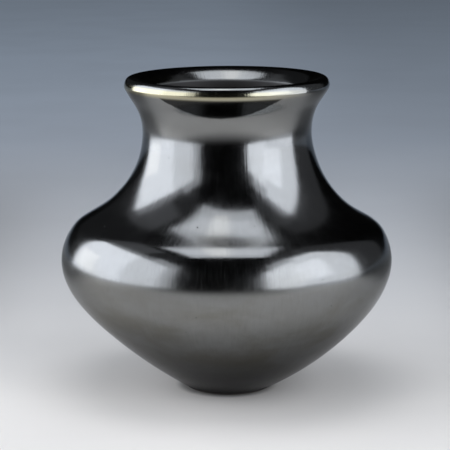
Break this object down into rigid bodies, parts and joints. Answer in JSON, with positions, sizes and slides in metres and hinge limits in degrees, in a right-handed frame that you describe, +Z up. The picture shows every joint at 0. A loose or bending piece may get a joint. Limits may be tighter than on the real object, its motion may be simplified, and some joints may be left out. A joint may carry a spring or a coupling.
{
  "type": "pottery jar",
  "caption": "Coil-built blackware jar with a burnished gunmetal surface: small foot, low wide shoulder, waisted neck and rounded flaring rim.",
  "frame": {"origin": "centre of the foot ring, on the surface that the jar stands on", "axes": "+Z up along the axis of the jar, through the mouth; -Y towards the viewer of the picture"},
  "size_m": [0.165, 0.165, 0.1569],
  "materials": {
    "burnished_slip": "stone-burnished slip, smoke-fired to a mirror-like gunmetal black",
    "smoked_clay": "matte smoke-blackened clay with fine grit and scraper marks"
  },
  "bodies": {
    "root": {"base": "smoked_clay", "lower_wall_coil_1": "smoked_clay", "lower_wall_coil_2": "smoked_clay", "lower_wall_coil_3": "smoked_clay", "shoulder_coil_1": "smoked_clay", "shoulder_coil_2": "smoked_clay", "neck_coil_1": "smoked_clay", "neck_coil_2": "smoked_clay", "neck_coil_3": "smoked_clay", "rim_coil": "smoked_clay", "slip_coat": "burnished_slip"}
  },
  "joints": []
}
